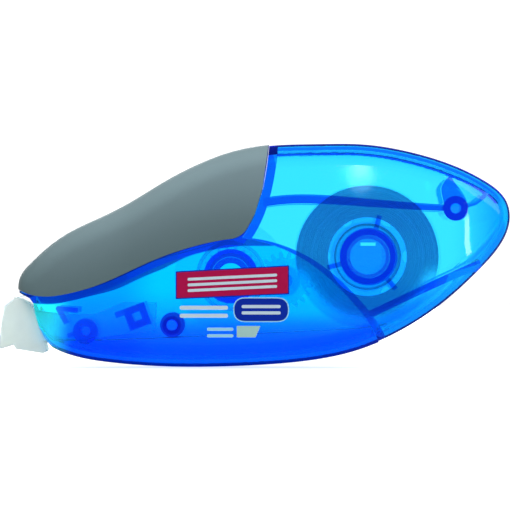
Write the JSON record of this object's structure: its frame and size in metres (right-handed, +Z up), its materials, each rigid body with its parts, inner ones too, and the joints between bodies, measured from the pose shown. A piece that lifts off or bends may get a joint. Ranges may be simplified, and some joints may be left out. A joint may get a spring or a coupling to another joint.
{
  "type": "correction tape roller",
  "caption": "Palm-sized roller that presses white correction film from a see-through blue case with a soft saddle grip and a frosted tip.",
  "frame": {"origin": "below the middle of the overall box, on the floor under the belly", "axes": "+X from the pressing edge to the tail, +Y from the labelled left side to the right side, +Z up"},
  "size_m": [0.0948, 0.017, 0.0413],
  "materials": {
    "shell_blue": "see-through gloss",
    "cover_cyan": "see-through gloss",
    "grip_rubber": "soft sheen",
    "frosted_tip": "frosted",
    "coated_film": "matt white coating",
    "spent_film": "glossy film",
    "roller_plastic": "satin",
    "spool_clear": "satin",
    "gear_plastic": "satin",
    "clutch_rubber": "matt"
  },
  "bodies": {
    "case": {"left_body_shell": "shell_blue", "right_body_shell": "shell_blue", "left_rear_cover": "cover_cyan", "right_rear_cover": "cover_cyan", "soft_grip": "grip_rubber", "applicator_tip": "frosted_tip", "coated_film_run": "coated_film", "spent_film_run": "spent_film"},
    "supply_spool": {"supply_core": "spool_clear", "supply_near_flange": "spool_clear", "supply_far_flange": "spool_clear", "tape_supply_roll": "coated_film"},
    "clutch_gear": {"supply_gear": "gear_plastic", "clutch_ring": "clutch_rubber"},
    "idler": {"idler_gear": "gear_plastic"},
    "take_up_spool": {"take_up_gear": "gear_plastic", "take_up_core": "spool_clear", "take_up_near_flange": "spool_clear", "take_up_far_flange": "spool_clear", "take_up_roll": "spent_film"},
    "film_guide": {"guide_roller": "roller_plastic"}
  },
  "joints": [
    {"name": "supply_spin", "type": "hinge", "parent": "case", "child": "supply_spool", "pos_m": [0.0209, 0, 0.0204], "axis": [0, 1, 0], "continuous": true},
    {"name": "clutch_gear_spin", "type": "hinge", "parent": "case", "child": "clutch_gear", "pos_m": [0.0209, 0, 0.0204], "axis": [0, 1, 0], "continuous": true},
    {"name": "idler_spin", "type": "hinge", "parent": "case", "child": "idler", "pos_m": [0.00556, 0, 0.01586], "axis": [0, 1, 0], "continuous": true},
    {"name": "take_up_spin", "type": "hinge", "parent": "case", "child": "take_up_spool", "pos_m": [-0.0044, 0, 0.0168], "axis": [0, 1, 0], "continuous": true},
    {"name": "film_guide_spin", "type": "hinge", "parent": "case", "child": "film_guide", "pos_m": [-0.01525, 0, 0.00775], "axis": [0, 1, 0], "continuous": true}
  ],
  "couplings": [
    {"joint": "clutch_gear_spin", "follows": "supply_spin", "ratio": 0.92308},
    {"joint": "idler_spin", "follows": "supply_spin", "ratio": -2.0308},
    {"joint": "take_up_spin", "follows": "supply_spin", "ratio": 2.0308},
    {"joint": "film_guide_spin", "follows": "supply_spin", "ratio": 5.7391}
  ]
}
